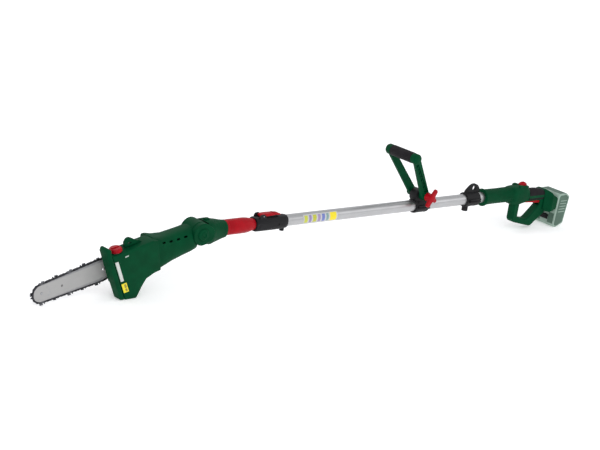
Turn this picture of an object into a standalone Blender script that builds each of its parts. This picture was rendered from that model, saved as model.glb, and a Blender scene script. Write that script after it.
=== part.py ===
"""A battery pole saw: a chainsaw head on a swivel, a telescoping pole and a rear switch handle.

Every length below is in millimetres and is turned into metres when a mesh is made.
Three frames are used:
  world  the saw at rest on the floor, +X toward the battery, +Z up, origin under its middle
  tool   +X along the pole toward the battery, origin on the pole's axis where it leaves the lock
  head   x runs back from the swivel along the head, so the bar points toward -x
The head droops from the pole by HEAD_DROOP.
"""

import math

import bmesh
import bpy
from mathutils import Matrix, Vector

MM = 0.001

# Stance of the saw on the floor.
STANCE_TILT = math.radians(1.3873)
STANCE_X = -140.48
STANCE_Z = 126.8

# Head and swivel.
PIVOT_X = -302.0
PIVOT_Z = 1.0
HEAD_DROOP = math.radians(13.5)
CHEEK_R = 28.0
CHEEK_FAR_R = 22.0
CHEEK_IN = 21.5
CHEEK_OUT = 36.0

# Pole.
OUTER_R = 15.0
OUTER_BORE = 13.3
INNER_R = 13.0
INNER_BORE = 11.5

# Bar, chain and drive, in the head frame.
BAR_Y = 12.0
BAR_HALF = 1.6
BAR_V = -13.5
NOSE_H = 441.0
NOSE_R = 20.5
BAR_BASE_H = 273.0
BAR_BASE_HALF = 26.0
DRIVE_H = 195.0
PITCH_R = 18.2
CHAIN_HALF = 3.3
CUTTER_PITCH = 38.1
GEAR_TEETH = 36
PINION_TEETH = 9
GEAR_R = 24.0
PINION_R = 6.0

# Handle clamp and strap clamp stations along the pole.
CLAMP_X = 458.0
CLAMP_Z = 33.0
GRIP_X = 378.0
GRIP_Z = 147.0

GAP = 0.4

for old in list(bpy.data.objects):
    bpy.data.objects.remove(old, do_unlink=True)

parts = bpy.data.collections.new("pole_saw")
cutters = bpy.data.collections.new("pole_saw_cutters")
bpy.context.scene.collection.children.link(parts)
bpy.context.scene.collection.children.link(cutters)

PAINTS = {
    "green_plastic": ((0.010, 0.085, 0.032, 1.0), 0.42, 0.0),
    "red_plastic": ((0.55, 0.012, 0.025, 1.0), 0.38, 0.0),
    "black_plastic": ((0.022, 0.023, 0.025, 1.0), 0.5, 0.0),
    "grey_plastic": ((0.16, 0.22, 0.17, 1.0), 0.45, 0.0),
    "soft_rubber": ((0.02, 0.021, 0.022, 1.0), 0.78, 0.0),
    "clear_window": ((0.62, 0.66, 0.64, 1.0), 0.12, 0.0),
    "pole_aluminium": ((0.55, 0.55, 0.57, 1.0), 0.34, 1.0),
    "plain_steel": ((0.42, 0.42, 0.44, 1.0), 0.36, 1.0),
    "chain_steel": ((0.10, 0.10, 0.11, 1.0), 0.40, 1.0),
}
paints = {}
for slot, (colour, roughness, metallic) in PAINTS.items():
    paint = bpy.data.materials.new(slot)
    paint.use_nodes = True
    shader = paint.node_tree.nodes["Principled BSDF"]
    shader.inputs["Base Color"].default_value = colour
    shader.inputs["Roughness"].default_value = roughness
    shader.inputs["Metallic"].default_value = metallic
    paint.diffuse_color = colour
    paints[slot] = paint

TOOL = Matrix.Translation((STANCE_X * MM, 0, STANCE_Z * MM)) @ Matrix.Rotation(STANCE_TILT, 4, "Y")
HEAD = TOOL @ Matrix.Translation((PIVOT_X * MM, 0, PIVOT_Z * MM)) @ Matrix.Rotation(-HEAD_DROOP, 4, "Y")


def added(name, mesh, place, slot=None):
    """Puts a mesh in the scene: as a part if it has a material, as a cutter if not."""
    thing = bpy.data.objects.new(name, mesh)
    thing.matrix_world = place
    if slot is None:
        cutters.objects.link(thing)
        thing.hide_render = True
        thing.display_type = "WIRE"
    else:
        parts.objects.link(thing)
        mesh.materials.append(paints[slot])
    return thing


def closed_mesh(name, shape):
    """Turns a bmesh into a mesh with outward faces, smooth except at its edges."""
    bmesh.ops.remove_doubles(shape, verts=shape.verts, dist=1e-6)
    bmesh.ops.recalc_face_normals(shape, faces=shape.faces)
    mesh = bpy.data.meshes.new(name)
    shape.to_mesh(mesh)
    shape.free()
    mesh.shade_smooth()
    mesh.set_sharp_from_angle(angle=math.radians(35))
    return mesh


def bevelled(thing, width, segments=2, angle=40):
    bevel = thing.modifiers.new("rounded edges", "BEVEL")
    bevel.width = width * MM
    bevel.segments = segments
    bevel.limit_method = "ANGLE"
    bevel.angle_limit = math.radians(angle)
    bevel.use_clamp_overlap = True
    return thing


def combined(thing, other, operation):
    """A Boolean of thing with other: DIFFERENCE, UNION or INTERSECT."""
    step = thing.modifiers.new(operation.lower() + " " + other.name, "BOOLEAN")
    step.operation = operation
    step.object = other
    step.solver = "EXACT"
    return thing


def box(name, place, low, high, slot=None, bevel=0.0):
    shape = bmesh.new()
    size = [(b - a) * MM for a, b in zip(low, high)]
    centre = [(a + b) / 2 * MM for a, b in zip(low, high)]
    bmesh.ops.create_cube(shape, size=1.0, matrix=Matrix.Translation(centre) @ Matrix.Diagonal((*size, 1)))
    thing = added(name, closed_mesh(name, shape), place, slot)
    return bevelled(thing, bevel) if bevel else thing


def plate(name, place, outline, low, high, slot=None, bevel=0.0, holes=(), segments=2):
    """An outline in x and z, as thick as y runs from low to high."""
    curve = bpy.data.curves.new(name, "CURVE")
    curve.dimensions = "2D"
    curve.fill_mode = "BOTH"
    curve.extrude = (high - low) / 2 * MM
    for loop in (outline, *holes):
        spline = curve.splines.new("POLY")
        spline.points.add(len(loop) - 1)
        for point, (x, z) in zip(spline.points, loop):
            point.co = (x * MM, z * MM, 0, 1)
        spline.use_cyclic_u = True
    guide = bpy.data.objects.new(name + "_outline", curve)
    cutters.objects.link(guide)
    filled = bpy.data.meshes.new_from_object(guide)
    bpy.data.objects.remove(guide, do_unlink=True)
    filled.transform(Matrix.Translation((0, (low + high) / 2 * MM, 0)) @ Matrix.Rotation(math.pi / 2, 4, "X"))
    shape = bmesh.new()
    shape.from_mesh(filled)
    bmesh.ops.remove_doubles(shape, verts=shape.verts, dist=1e-6)
    bmesh.ops.dissolve_limit(shape, angle_limit=math.radians(0.5), verts=shape.verts, edges=shape.edges)
    thing = added(name, closed_mesh(name, shape), place, slot)
    return bevelled(thing, bevel, segments) if bevel else thing


AXES = {
    "X": Matrix.Rotation(math.pi / 2, 4, "Y"),
    "Y": Matrix.Rotation(-math.pi / 2, 4, "X"),
    "Z": Matrix.Identity(4),
}


def turned(name, place, axis, centre, outer, bore=(), slot=None, steps=32):
    """A shape of revolution. outer and bore list (station, radius) with rising stations along the axis."""
    chain = [(r, s) for s, r in reversed(outer)]
    if bore:
        chain += [(r, s) for s, r in bore]
        chain.append(chain[0])
    else:
        chain = [(0.0, outer[-1][0])] + chain + [(0.0, outer[0][0])]
    mesh = bpy.data.meshes.new(name)
    points = [(r * MM, 0, s * MM) for r, s in chain]
    if bore:
        points.pop()
        edges = [(i, (i + 1) % len(points)) for i in range(len(points))]
    else:
        edges = [(i, i + 1) for i in range(len(points) - 1)]
    mesh.from_pydata(points, edges, [])
    position = Matrix.Translation([c * MM for c in centre])
    thing = added(name, mesh, place @ position @ AXES[axis], slot)
    screw = thing.modifiers.new("turned", "SCREW")
    screw.axis = "Z"
    screw.steps = steps
    screw.render_steps = steps
    screw.use_merge_vertices = True
    screw.merge_threshold = 1e-5
    screw.use_smooth_shade = True
    return thing


def rod(name, place, axis, centre, low, high, radius, slot=None, steps=24):
    return turned(name, place, axis, centre, [(low, radius), (high, radius)], (), slot, steps)


def loft(name, place, sections, slot=None, around=28, bevel=0.0):
    """Rounded sections along x, each (x, half width in y, low z, high z, squareness)."""
    shape = bmesh.new()
    rings = []
    for x, half, low, high, power in sections:
        ring = []
        for step in range(around):
            turn = 2 * math.pi * (step + 0.5) / around
            c, s = math.cos(turn), math.sin(turn)
            y = math.copysign(abs(c) ** (2 / power), c) * half
            z = math.copysign(abs(s) ** (2 / power), s) * (high - low) / 2 + (high + low) / 2
            ring.append(shape.verts.new((x * MM, y * MM, z * MM)))
        rings.append(ring)
    for ring, following in zip(rings, rings[1:]):
        for i in range(around):
            j = (i + 1) % around
            shape.faces.new((ring[i], ring[j], following[j], following[i]))
    shape.faces.new(rings[0])
    shape.faces.new(rings[-1])
    thing = added(name, closed_mesh(name, shape), place, slot)
    return bevelled(thing, bevel) if bevel else thing


def wire(name, place, points, radius, slot=None, sides=3):
    """A round rod bent through points in x, y, z."""
    curve = bpy.data.curves.new(name, "CURVE")
    curve.dimensions = "3D"
    curve.bevel_depth = radius * MM
    curve.bevel_resolution = sides
    curve.use_fill_caps = True
    spline = curve.splines.new("POLY")
    spline.points.add(len(points) - 1)
    for point, place_of in zip(spline.points, points):
        point.co = (*(value * MM for value in place_of), 1)
    guide = bpy.data.objects.new(name + "_path", curve)
    cutters.objects.link(guide)
    filled = bpy.data.meshes.new_from_object(guide)
    bpy.data.objects.remove(guide, do_unlink=True)
    shape = bmesh.new()
    shape.from_mesh(filled)
    return added(name, closed_mesh(name, shape), place, slot)


def flipped(outline):
    """An outline given as (distance ahead of the swivel, height) in the head's x and z."""
    return [(-h, v) for h, v in outline]


def arc(cx, cz, radius, start, stop, count):
    """Points on a circle, angles in degrees."""
    turns = [math.radians(start + (stop - start) * i / count) for i in range(count + 1)]
    return [(cx + radius * math.cos(t), cz + radius * math.sin(t)) for t in turns]


# ---------------------------------------------------------------- saw head: shell
GEARBOX = flipped([
    (133, 31), (150, 35.5), (177, 35.8), (205, 34), (232, 34.5), (267.2, 34.5),
    (255.4, -26), (243.2, -86.0), (211, -92.9), (202, -82), (191, -68), (177, -54), (153, -47.5), (133, -46.5),
])
housing = loft("motor_block", HEAD, [
    (-136, 36, -48, 33, 5.0), (-131, 36.4, -48.6, 33, 4.5), (-117, 35.8, -48.6, 28.4, 3.4), (-90, 34.5, -46.5, 23.5, 2.6),
    (-56, 34, -43.5, 22, 2.5), (-31, 34, -41.8, 21, 2.5), (-16, 31, -40.5, 23, 2.5), (-9, 24, -37.5, 20, 2.5),
], around=28)
knuckle = rod("knuckle_block", HEAD, "Y", (0, 0, 0), -20.8, 20.8, 29, steps=28)
cheek_room = turned("cheek_room", HEAD, "Y", (0, 0, 0), [(-60, 28.9), (-21.2, 28.9)], steps=28)
cheek_room_far = turned("cheek_room_far", HEAD, "Y", (0, 0, 0), [(21.2, 28.9), (60, 28.9)], steps=28)
rear_trim = box("rear_trim", HEAD, (-14, -60, -60), (10, -21.2, 60))
rear_trim_far = box("rear_trim_far", HEAD, (-14, 21.2, -60), (10, 60, 60))
combined(housing, knuckle, "UNION")
combined(housing, cheek_room, "DIFFERENCE")
combined(housing, cheek_room_far, "DIFFERENCE")
combined(housing, rear_trim, "DIFFERENCE")
combined(housing, rear_trim_far, "DIFFERENCE")

motor_room = loft("motor_room", HEAD, [
    (-140, 29.5, -41, 24, 2.6), (-117, 30.5, -43.5, 22.5, 2.6), (-56, 29.5, -39.5, 17.5, 2.4), (-38, 28.5, -37, 16, 2.4),
], around=16)
gear_room = plate("gear_room", HEAD, flipped([
    (137, 27), (150, 31.5), (177, 31.8), (205, 30), (262.5, 30.5), (251.5, -26), (240, -80.5),
    (212.5, -87), (204, -77), (193, -64), (179, -50.3), (153, -43.5), (137, -42.5),
]), -33.4, 4.6)
shaft_hole = rod("shaft_hole", HEAD, "Y", (-DRIVE_H, 0, BAR_V), 3, 12, 6.4)
bearing_boss = turned("bearing_boss", HEAD, "Y", (-DRIVE_H, 0, BAR_V), [(-34.2, 15), (-20.5, 15)],
                      [(-34.2, 11.4), (-20.5, 11.4)], steps=20)
bearing_seat_far = turned("bearing_seat_far", HEAD, "Y", (-DRIVE_H, 0, BAR_V), [(0, 11.4), (6.1, 11.4)], steps=20)
pinion_room = rod("pinion_room", HEAD, "X", (0, 0, BAR_V), -190, -125, 8.6, steps=20)
pivot_hole = rod("pivot_hole", HEAD, "Y", (0, 0, 0), -30, 30, 4.5)
cable_way = box("cable_way", HEAD, (-60, -7, -8), (-12, 7, 2))
stud_hole = rod("stud_hole", HEAD, "Y", (-235, 0, BAR_V), 2, 12, 4.4)
neck_hole = turned("neck_hole", HEAD, "Z", (-245, -18, 0), [(24, 12.4), (50, 12.4)], steps=24)
window_hole = plate("window_hole", HEAD, flipped([
    (262.2, 18.5), (251.8, 18.5), (241.2, -36.5), (251.0, -36.5),
]), -45, -31)
near_side = box("near_side", HEAD, (-300, -0.15, -120), (60, 80, 120))
far_side = box("far_side", HEAD, (-300, -80, -120), (60, 0.15, 120))

VENTS = [(48, 17), (70, 18), (92, 20), (114, 23)]
vent_cutters = []
for number, (h, v) in enumerate(VENTS):
    for side in (-1, 1):
        slot_box = box(f"vent_{number}_{side}", HEAD, (-h - 5, 0, -2.4), (-h + 5, 30, 2.4))
        swing = Matrix.Translation((0, side * 14 * MM, (v - 18) * MM)) @ Matrix.Rotation(side * math.radians(35), 4, "X")
        if side < 0:
            swing = swing @ Matrix.Rotation(math.pi, 4, "Z") @ Matrix.Translation((2 * h * MM, 0, 0))
        slot_box.matrix_world = HEAD @ swing
        vent_cutters.append((side, slot_box))

for name, other_half, side in (("head_shell_left", near_side, -1), ("head_shell_right", far_side, 1)):
    shell = plate(name, HEAD, GEARBOX, -37, 8, "green_plastic", bevel=2.6)
    combined(shell, housing, "UNION")
    combined(shell, other_half, "DIFFERENCE")
    combined(shell, motor_room, "DIFFERENCE")
    combined(shell, gear_room, "DIFFERENCE")
    if side < 0:
        combined(shell, neck_hole, "DIFFERENCE")
        combined(shell, window_hole, "DIFFERENCE")
    else:
        combined(shell, shaft_hole, "DIFFERENCE")
        combined(shell, bearing_seat_far, "DIFFERENCE")
        combined(shell, stud_hole, "DIFFERENCE")
    combined(shell, pinion_room, "DIFFERENCE")
    combined(shell, pivot_hole, "DIFFERENCE")
    combined(shell, cable_way, "DIFFERENCE")
    for vent_side, vent in vent_cutters:
        if vent_side == side:
            combined(shell, vent, "DIFFERENCE")
    if side < 0:
        combined(shell, bearing_boss, "UNION")

bumper = plate("front_bumper", HEAD, flipped([
    (273, 57.5), (279, 57), (282.4, 49), (267.4, -31), (256.6, -81.6), (245.2, -83.6), (256.2, -26), (268.2, 35), (268.6, 52),
]), -38, -6, "green_plastic", bevel=2.0)
bumper_trim = plate("bumper_trim", HEAD, flipped([(230, -95), (300, -95), (300, -38), (230, -38)]), -12, 10)
combined(bumper, bumper_trim, "DIFFERENCE")

# ---------------------------------------------------------------- saw head: oil
tank = plate("oil_tank", HEAD, flipped([
    (222, 24), (258.2, 24), (249.6, -26), (238.8, -77), (222, -80),
]), -29.5, -3, "grey_plastic", bevel=1.5)
tank_room = plate("tank_room", HEAD, flipped([
    (224.5, 21.5), (255.2, 21.5), (247, -26), (236.8, -74.5), (224.5, -77),
]), -27.3, -5.2)
tank_neck = rod("tank_neck", HEAD, "Z", (-245, -18, 0), 23, 35.6, 11.9, steps=24)
tank_bore = rod("tank_bore", HEAD, "Z", (-245, -18, 0), 18, 40, 10.0, steps=24)
combined(tank, tank_neck, "UNION")
combined(tank, tank_room, "DIFFERENCE")
combined(tank, tank_bore, "DIFFERENCE")

plate("oil_window", HEAD, flipped([
    (261.8, 18.1), (252.3, 18.1), (241.7, -36.1), (250.6, -36.1),
]), -37.6, -33.8, "clear_window", bevel=0.8)

turned("oil_cap", HEAD, "Z", (-245, -18, 0), [
    (27, 8.6), (28, 9.5), (36.1, 9.5), (36.1, 14.6), (37.2, 15.4), (44, 15.2), (46.2, 13.4), (46.6, 4),
], slot="red_plastic", steps=28)

box("oil_pump", HEAD, (-216, -30, -64), (-196, -16, -44), "black_plastic", bevel=1.5)

plate("branch_hook", HEAD, flipped([
    (219, 36.3), (217.5, 49), (211, 56.5), (203, 57.6), (195, 53), (185, 45), (176, 42), (169, 36.3),
]), -19, -11, "green_plastic", bevel=1.6,
    holes=[flipped([(212, 42), (206, 47.5), (198, 45), (200, 41.5)])])

# ---------------------------------------------------------------- saw head: drive
turned("motor_can", HEAD, "X", (0, 0, BAR_V), [
    (-130, 8), (-129.8, 19), (-127, 21), (-66, 21), (-64, 19.5), (-63.8, 8),
], [(-130, 3.0), (-63.8, 3.0)], "plain_steel", steps=24)
turned("motor_shaft", HEAD, "X", (0, 0, BAR_V), [
    (-180.5, 2.4), (-62, 2.4), (-61.9, 6), (-54, 6), (-53, 21.5), (-51.5, 21.5), (-51.4, 2.4), (-46, 2.4),
], slot="plain_steel", steps=20)


def bevel_wheel(name, teeth, apex_reach, pitch_radius, face, back, bore, lift, slot):
    """A bevel wheel about z with its pitch cone's apex at the origin.

    apex_reach is how far the large end lies below the apex; back is the wheel's far face.
    """
    slant = math.hypot(apex_reach, pitch_radius)
    out_r, out_z = apex_reach / slant, pitch_radius / slant
    shape = bmesh.new()
    rings = []

    def toothed_ring(scale):
        ring = []
        for i in range(2 * teeth):
            turn = math.pi * i / teeth
            rise = (0.75 if i % 2 == 0 else -0.95) * scale - lift
            r = pitch_radius * scale + rise * out_r
            z = -apex_reach * scale + rise * out_z
            ring.append(shape.verts.new((r * math.cos(turn) * MM, r * math.sin(turn) * MM, z * MM)))
        return ring

    def plain_ring(r, z):
        turns = [math.pi * i / teeth for i in range(2 * teeth)]
        return [shape.verts.new((r * math.cos(t) * MM, r * math.sin(t) * MM, z * MM)) for t in turns]

    small = 1 - face / slant
    rings.append(plain_ring(bore, -apex_reach * small - 1.6 * out_z))
    rings.append(toothed_ring(small))
    rings.append(toothed_ring(1.0))
    rings.append(plain_ring(pitch_radius - 1.6 * out_r, back))
    rings.append(plain_ring(bore, back))
    for ring, following in zip(rings, rings[1:] + rings[:1]):
        for i in range(2 * teeth):
            j = (i + 1) % (2 * teeth)
            shape.faces.new((ring[i], ring[j], following[j], following[i]))
    return added(name, closed_mesh(name, shape), HEAD, slot)


apex = Matrix.Translation((-DRIVE_H * MM, 0, BAR_V * MM))
gear = bevel_wheel("bevel_gear", GEAR_TEETH, PINION_R, GEAR_R, 8.0, -13.5, 5.2, 0.5, "plain_steel")
gear.matrix_world = HEAD @ apex @ AXES["Y"]
pinion = bevel_wheel("motor_pinion", PINION_TEETH, GEAR_R, PINION_R, 8.0, -30.0, 2.7, 0.0, "plain_steel")
half_tooth = Matrix.Rotation(math.pi / PINION_TEETH / 2, 4, "Z")
pinion.matrix_world = HEAD @ apex @ Matrix.Rotation(-math.pi / 2, 4, "Y") @ half_tooth

turned("gear_shaft", HEAD, "Y", (-DRIVE_H, 0, BAR_V), [(-28.6, 4.9), (19, 4.9)], slot="plain_steel", steps=16)
turned("bearing_near", HEAD, "Y", (-DRIVE_H, 0, BAR_V), [(-28.8, 11.0), (-21, 11.0)], [(-28.8, 5.3), (-21, 5.3)],
       "plain_steel", steps=20)
turned("bearing_far", HEAD, "Y", (-DRIVE_H, 0, BAR_V), [(0.5, 11.0), (5.8, 11.0)], [(0.5, 5.3), (5.8, 5.3)],
       "plain_steel", steps=20)


def toothed_disc(name, centre_h, teeth, tip, root, low, high, bore, slot):
    outline = []
    for i in range(teeth):
        for share, radius in ((-0.30, root), (-0.12, tip), (0.12, tip), (0.30, root)):
            turn = 2 * math.pi * (i + share) / teeth
            outline.append((radius * math.cos(turn), radius * math.sin(turn)))
    place = HEAD @ Matrix.Translation((-centre_h * MM, 0, BAR_V * MM))
    return plate(name, place, outline, low, high, slot, holes=[arc(0, 0, bore, 0, 345, 23)])


toothed_disc("drive_sprocket", DRIVE_H, 6, 15.2, 10.5, 8.9, 15.1, 5.2, "plain_steel")
nose_wheel = toothed_disc("nose_sprocket", NOSE_H - 1.5, 8, 19.0, 15.0, BAR_Y - 0.5, BAR_Y + 0.5, 2.0, "plain_steel")
nose_hub = rod("nose_hub", HEAD, "Y", (-(NOSE_H - 1.5), 0, BAR_V), BAR_Y - 1.9, BAR_Y + 1.9, 3.0, steps=20)
combined(nose_wheel, nose_hub, "UNION")

bar_outline = (
    [(217, -17), (240, -21), (BAR_BASE_H, -BAR_BASE_HALF), (340, -23.7)]
    + [(NOSE_H + x, z) for x, z in arc(0, 0, NOSE_R, -90, 90, 16)]
    + [(340, 23.7), (BAR_BASE_H, BAR_BASE_HALF), (240, 21), (217, 17)]
)
slot_outline = [(216, -4.2), (264, -4.2), (267, -2.5), (268.2, 0), (267, 2.5), (264, 4.2), (216, 4.2)]
bar_outline = bar_outline + [(217, 4.2)] + slot_outline[-2:0:-1] + [(217, -4.2)]
bar = plate("guide_bar", HEAD, flipped([(h, v + BAR_V) for h, v in bar_outline]),
            BAR_Y - BAR_HALF, BAR_Y + BAR_HALF, "plain_steel",
            holes=[flipped(arc(240, -28.0, 3.0, 0, 330, 11))])
nose_slot = box("nose_slot", HEAD, (-480, BAR_Y - 0.8, -50), (-(NOSE_H - 22.5), BAR_Y + 0.8, 30))
rivet_hole = rod("rivet_hole", HEAD, "Y", (-(NOSE_H - 1.5), 0, BAR_V), 5, 20, 3.4)
combined(bar, nose_slot, "DIFFERENCE")
combined(bar, rivet_hole, "DIFFERENCE")
rod("bar_stud", HEAD, "Y", (-235, 0, BAR_V), 3.5, 42, 3.9, "plain_steel", steps=20)


def chain_path(spacing):
    """The chain's pitch line as (point, outward normal, length so far), once round."""
    rise = 2.8
    rear = Vector((DRIVE_H, 0))
    base_top = Vector((BAR_BASE_H, BAR_BASE_HALF + rise))
    nose = Vector((NOSE_H, 0))
    nose_r = NOSE_R + rise
    reach = base_top - rear
    lean = math.atan2(reach.y, reach.x)
    contact = lean + math.acos(PITCH_R / reach.length)
    upper = [rear + PITCH_R * Vector((math.cos(contact + d), math.sin(contact + d)))
             for d in [(math.pi - contact) * i / 8 for i in range(8, -1, -1)]]
    upper.append(base_top)
    upper += [nose + nose_r * Vector((math.sin(t), math.cos(t))) for t in [math.pi / 2 * i / 10 for i in range(11)]]
    loop = upper + [Vector((p.x, -p.y)) for p in reversed(upper[1:-1])]
    lengths = [(b - a).length for a, b in zip(loop, loop[1:] + loop[:1])]
    total = sum(lengths)
    count = int(round(total / spacing))
    stations = []
    index, passed = 0, 0.0
    for step in range(count):
        wanted = total * step / count
        while passed + lengths[index] < wanted:
            passed += lengths[index]
            index += 1
        a, b = loop[index], loop[(index + 1) % len(loop)]
        along = (b - a).normalized()
        stations.append((a + along * (wanted - passed), Vector((-along.y, along.x)), wanted))
    return stations


chain_outer = []
chain_inner = []
for point, outward, length in chain_path(6.4):
    share = (length % CUTTER_PITCH) / CUTTER_PITCH
    rise = (6.3 if share < 0.34 else 3.4) if point.x > 290 else (4.2 if share < 0.34 else 2.9)
    spot = point + outward * rise
    chain_outer.append((spot.x, spot.y + BAR_V))
    spot = point - outward * 2.2
    chain_inner.append((spot.x, spot.y + BAR_V))
plate("saw_chain", HEAD, flipped(chain_outer), BAR_Y - CHAIN_HALF, BAR_Y + CHAIN_HALF, "chain_steel",
      holes=[flipped(chain_inner)])

cover = plate("sprocket_cover", HEAD, flipped([
    (140, 9), (165, 12), (195, 14), (226, 14), (236, 8), (252, 6), (252, -32), (236, -36), (228, -60), (214, -72),
    (202, -76), (191, -66), (177, -56), (160, -48), (140, -44),
]), 8.5, 33, "black_plastic", bevel=3.0)
cover_room = plate("cover_room", HEAD, flipped(
    [(275, 22.2), (262, 21.6)] + arc(DRIVE_H, BAR_V, 26, 80, 280, 16) + [(275, -50.5)]
), 7.5, 18.5)
cover_hollow = plate("cover_hollow", HEAD, flipped(arc(DRIVE_H, BAR_V, 16, 0, 345, 23)), 18.0, 22.0)
cover_stud_hole = rod("cover_stud_hole", HEAD, "Y", (-235, 0, BAR_V), 15, 40, 4.6)
combined(cover, cover_room, "DIFFERENCE")
combined(cover, cover_hollow, "DIFFERENCE")
combined(cover, cover_stud_hole, "DIFFERENCE")
cover_knob = turned("cover_knob", HEAD, "Y", (-235, 0, BAR_V), [
    (33.4, 15), (34.5, 16.5), (42, 16), (44.5, 13.5), (45, 5),
], slot="red_plastic", steps=28)
knob_bore = rod("knob_bore", HEAD, "Y", (-235, 0, BAR_V), 31, 42.6, 4.3)
combined(cover_knob, knob_bore, "DIFFERENCE")

# ---------------------------------------------------------------- swivel
yoke = loft("swivel_yoke", TOOL, [
    (-284, 34, -27, 23, 2.6), (-276, 35.4, -32, 26.5, 2.8), (-266, 34.5, -34.5, 27.5, 2.7), (-255, 30, -33, 26.5, 2.5),
    (-240, 25.5, -30.5, 24.5, 2.4), (-226, 22.3, -27, 21.5, 2.3), (-212, 20.5, -24.5, 19.5, 2.2),
], "green_plastic", around=24)
cheek_outline = [(PIVOT_X - x, z + PIVOT_Z) for x, z in arc(0, 0, CHEEK_R, -125, 125, 22)]
cheek_outline += [(-274, 17), (-267, 8), (-267, -10), (-274, -19)]
cheeks = plate("cheek_block", TOOL, cheek_outline, -CHEEK_OUT, -CHEEK_IN + 1.5, bevel=1.5, segments=1)
far_outline = [(PIVOT_X - x, z + PIVOT_Z) for x, z in arc(0, 0, CHEEK_FAR_R, -110, 110, 20)]
far_outline += [(-274, 15), (-267, 8), (-267, -10), (-274, -15)]
far_cheek = plate("far_cheek_block", TOOL, far_outline, CHEEK_IN - 1.5, 30, bevel=1.5, segments=1)
fork_room = rod("fork_room", TOOL, "Y", (PIVOT_X, 0, PIVOT_Z - 10), -CHEEK_IN, CHEEK_IN, 40.8, steps=32)
tube_room = rod("tube_room", TOOL, "X", (0, 0, 0), -270, -180, INNER_R + GAP, steps=20)
button_room = rod("button_room", TOOL, "Y", (PIVOT_X, 0, PIVOT_Z), -50, -15, 16.0, steps=24)
bolt_room = rod("bolt_room", TOOL, "Y", (PIVOT_X, 0, PIVOT_Z), 10, 50, 4.5)
yoke_top = box("yoke_top", TOOL, (-276, -6, 20), (-262, 6, 30.5), bevel=1.5)
yoke_bottom = box("yoke_bottom", TOOL, (-268, -6, -37), (-252, 6, -25), bevel=1.5)
combined(yoke, cheeks, "UNION")
combined(yoke, far_cheek, "UNION")
combined(yoke, yoke_top, "UNION")
combined(yoke, yoke_bottom, "UNION")
combined(yoke, fork_room, "DIFFERENCE")
combined(yoke, tube_room, "DIFFERENCE")
combined(yoke, button_room, "DIFFERENCE")
combined(yoke, bolt_room, "DIFFERENCE")

swivel_button = turned("swivel_button", TOOL, "Y", (PIVOT_X, 0, PIVOT_Z), [
    (-40, 11.5), (-39.2, 13.6), (-36.5, 15.5), (-30.5, 15.5),
], slot="green_plastic", steps=28)
turned("detent_disc", HEAD, "Y", (0, 0, 0), [(-25.6, 14.6), (-21.9, 14.6)], [(-25.6, 4.4), (-21.9, 4.4)],
       "plain_steel", steps=20)
turned("pivot_bolt", HEAD, "Y", (0, 0, 0), [(-26.0, 4.0), (30.4, 4.0), (30.4, 9.0), (33.6, 9.0), (34.2, 8.2)],
       slot="plain_steel", steps=20)

# ---------------------------------------------------------------- pole and lock
turned("coupling_sleeve", TOOL, "X", (0, 0, 0), [
    (-211.4, 18.6), (-210.6, 19.8), (-206, 19.8), (-205, 18.8), (-203, 18.8), (-201, 19.8), (-150, 19.8), (-138, 19.0),
    (-127, 16.8), (-118.5, 15.2), (-117.2, 14.6),
], [(-211.4, INNER_R + GAP), (-117.2, INNER_R + GAP)], "red_plastic", steps=16)
turned("inner_tube", TOOL, "X", (0, 0, 0), [(-261.5, INNER_R), (500, INNER_R)],
       [(-261.5, INNER_BORE), (500, INNER_BORE)], "pole_aluminium", steps=28)
turned("inner_tube_plug", TOOL, "X", (0, 0, 0), [
    (484, 11.1), (500.3, 11.1), (500.4, 12.9), (507, 12.9),
], [(484, 3.6), (507, 3.6)], "black_plastic", steps=20)
turned("outer_tube", TOOL, "X", (0, 0, 0), [(-96, OUTER_R), (760, OUTER_R)],
       [(-96, OUTER_BORE), (760, OUTER_BORE)], "pole_aluminium", steps=36)

lock = loft("lock_body", TOOL, [
    (-116.4, 17.0, -17, 17, 3.2), (-113, 18.2, -18.2, 18.0, 3.2), (-60, 18.6, -18.6, 16.6, 3.0),
    (-24, 18.4, -18.4, 16.8, 2.8), (-15, 17.6, -17.6, 16.6, 2.6), (-12.7, 16.6, -16.8, 16.4, 2.4),
], "black_plastic", around=24)
lug_side = [(-106, 8), (-106, 20), (-102, 25), (-93, 26), (-86, 22), (-83, 12), (-83, 8)]
lug_near = plate("lug_near", TOOL, lug_side, -14, -8.8, bevel=1.0, segments=1)
lug_far = plate("lug_far", TOOL, lug_side, 8.8, 14, bevel=1.0, segments=1)
screw_boss = rod("screw_boss", TOOL, "Z", (-18, 0, 0), -25.6, -14, 6.0)
outer_room = rod("outer_room", TOOL, "X", (0, 0, 0), -96.6, 0, OUTER_R + 0.3, steps=24)
inner_room = rod("inner_room", TOOL, "X", (0, 0, 0), -130, -90, INNER_R + GAP, steps=20)
cam_room = box("cam_room", TOOL, (-101, -8.7, 10), (-84, 8.7, 22))
lug_pin_room = rod("lug_pin_room", TOOL, "Y", (-94, 0, 21), -16, 16, 1.9, steps=16)
screw_room = turned("screw_room", TOOL, "Z", (-18, 0, 0), [(-30, 3.8), (-22.4, 3.8), (-22.3, 2.0), (-14, 2.0)], steps=20)
side_dimple = rod("side_dimple", TOOL, "Y", (-46, 0, -2), -24, -17.4, 3.0, steps=16)
side_recess = box("side_recess", TOOL, (-114, -24, -8), (-104, -17.6, 4), bevel=0.8)
combined(lock, lug_near, "UNION")
combined(lock, lug_far, "UNION")
combined(lock, screw_boss, "UNION")
combined(lock, outer_room, "DIFFERENCE")
combined(lock, inner_room, "DIFFERENCE")
combined(lock, cam_room, "DIFFERENCE")
combined(lock, lug_pin_room, "DIFFERENCE")
combined(lock, screw_room, "DIFFERENCE")
combined(lock, side_dimple, "DIFFERENCE")
combined(lock, side_recess, "DIFFERENCE")

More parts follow.
